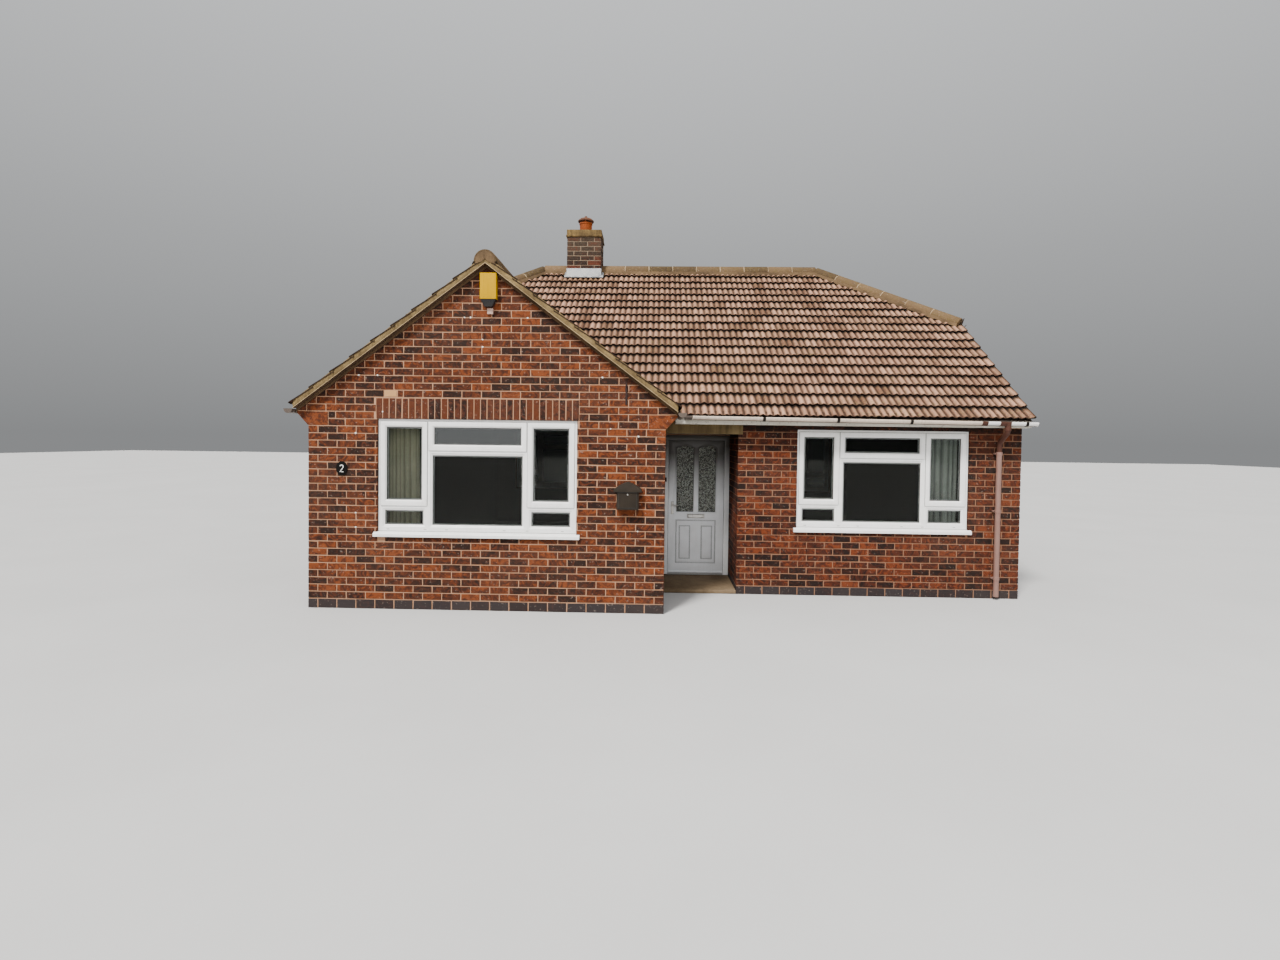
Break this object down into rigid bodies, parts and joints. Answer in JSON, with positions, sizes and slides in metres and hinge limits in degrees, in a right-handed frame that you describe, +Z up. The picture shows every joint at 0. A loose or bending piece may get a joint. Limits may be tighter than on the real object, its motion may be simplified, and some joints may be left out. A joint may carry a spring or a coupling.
{
  "type": "brick bungalow",
  "caption": "Detached brick bungalow: gabled front wing, half-hipped tiled main roof, recessed porch with a glazed front door, ridge chimney and white casement windows.",
  "frame": {"origin": "ground level, below the middle of the main ridge, on the underside of the floor slab", "axes": "+X towards the right-hand gable seen from the front, -Y out of the front door, +Z up"},
  "size_m": [9.237, 8.447, 6.158],
  "materials": {
    "brick": "mixed red and dark brown facing bricks with pale pinkish mortar joints",
    "crown_brick": "weathered oversailing bricks and mortar",
    "concrete": "trowelled concrete",
    "cast_stone": "cream cast concrete lintel",
    "upvc": "white extruded window plastic",
    "painted_board": "weathered off-white painted boards",
    "brown_board": "dark brown stained boards",
    "glass": "clear sealed units",
    "obscure_glass": "patterned obscure glass",
    "curtain_cloth": "grey-beige woven curtain cloth",
    "door_metal": "satin door furniture",
    "roof_tile": "pinkish-brown rolled concrete tiles",
    "ridge_tile": "weathered half-round concrete tiles with lichen",
    "verge_mortar": "mortar bedding with yellow lichen",
    "rainwater_plastic": "weathered pale grey rainwater plastic",
    "brown_plastic": "red-brown rainwater plastic",
    "lead": "weathered sheet lead",
    "terracotta": "unglazed terracotta",
    "dark_metal": "charcoal painted steel",
    "yellow_plastic": "yellow moulded cover",
    "beige_plastic": "pinkish beige moulded box",
    "black_plaque": "black enamelled plaque"
  },
  "bodies": {
    "house": {"floor_slab": "concrete", "wing_front_wall": "brick", "wing_left_wall": "brick", "wing_right_wall": "brick", "main_front_wall": "brick", "porch_side_wall": "brick", "door_head_wall": "brick", "left_gable_wall": "brick", "right_gable_wall": "brick", "back_wall": "brick", "porch_step": "concrete", "porch_lintel": "cast_stone", "porch_ceiling": "painted_board", "soldier_course": "brick", "wing_window_frame": "upvc", "main_window_frame": "upvc", "rear_window_frames": "upvc", "window_sashes": "upvc", "window_glass": "glass", "window_sills": "upvc", "curtain_tracks": "upvc", "curtains": "curtain_cloth", "door_frame": "upvc", "hinge_posts": "door_metal", "main_roof_front": "roof_tile", "main_roof_back": "roof_tile", "half_hip_left": "roof_tile", "half_hip_right": "roof_tile", "wing_roof_left": "roof_tile", "wing_roof_right": "roof_tile", "ridge_tiles": "ridge_tile", "hip_tiles": "ridge_tile", "hip_irons": "dark_metal", "wing_ridge_tiles": "ridge_tile", "verges": "verge_mortar", "main_eaves_boards": "painted_board", "wing_eaves_boards": "brown_board", "gutters": "rainwater_plastic", "downpipes": "brown_plastic", "chimney_stack": "brick", "chimney_crown": "crown_brick", "chimney_flashing": "lead", "chimney_pot": "terracotta", "post_box": "dark_metal", "alarm_box": "yellow_plastic", "cable_box": "beige_plastic", "number_plaque": "black_plaque", "bell_push": "black_plaque", "wall_hook": "dark_metal"},
    "door": {"front_door": "upvc", "door_glass": "obscure_glass", "hinge_knuckles": "door_metal", "handle_plates": "door_metal", "letter_plate": "door_metal"},
    "lever": {"door_handle": "door_metal"}
  },
  "joints": [
    {"name": "front_door_hinge", "type": "hinge", "parent": "house", "child": "door", "pos_m": [0.6125, -2.452, 1], "axis": [0, 0, -1], "range_deg": [0, 90]},
    {"name": "door_lever", "type": "hinge", "parent": "door", "child": "lever", "pos_m": [-0.142, -2.495, 1.07], "axis": [0, 1, 0], "range_deg": [0, 40], "stiffness_Nm_per_rad": 1.5, "springref_deg": -34.38}
  ]
}
